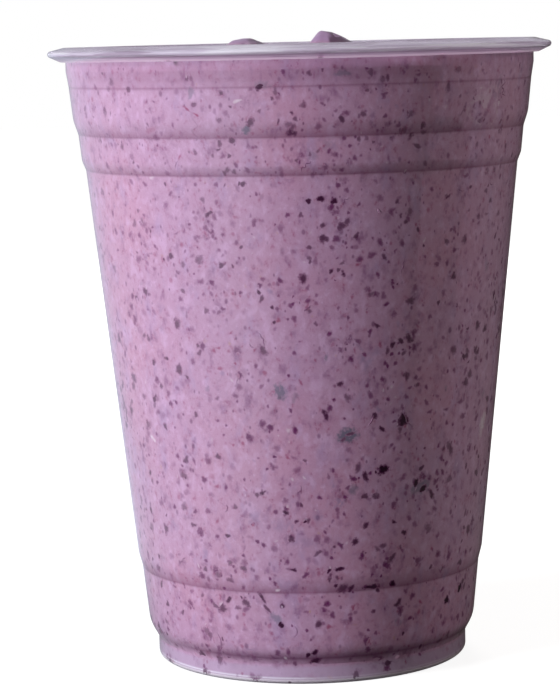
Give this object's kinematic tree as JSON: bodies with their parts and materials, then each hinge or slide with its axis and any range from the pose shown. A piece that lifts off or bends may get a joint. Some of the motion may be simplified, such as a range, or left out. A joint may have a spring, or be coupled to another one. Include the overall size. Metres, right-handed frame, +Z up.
{
  "type": "berry smoothie in a clear plastic cup",
  "caption": "Thick mauve berry smoothie with dark fruit specks, poured to the brim of a clear tapered cup with a rolled rim, stacking steps and an uneven top.",
  "frame": {"origin": "centre of the foot ring's resting plane, on the cup's axis", "axes": "+Z up along the cup's axis, -Y towards the side shown, +X to that side's right"},
  "size_m": [0.098, 0.098, 0.1222],
  "materials": {
    "clear_plastic": "clear, glossy thermoformed plastic",
    "smoothie": "opaque, wet, satin blended fruit with dark specks"
  },
  "bodies": {
    "root": {"cup": "clear_plastic", "smoothie": "smoothie"}
  },
  "joints": []
}
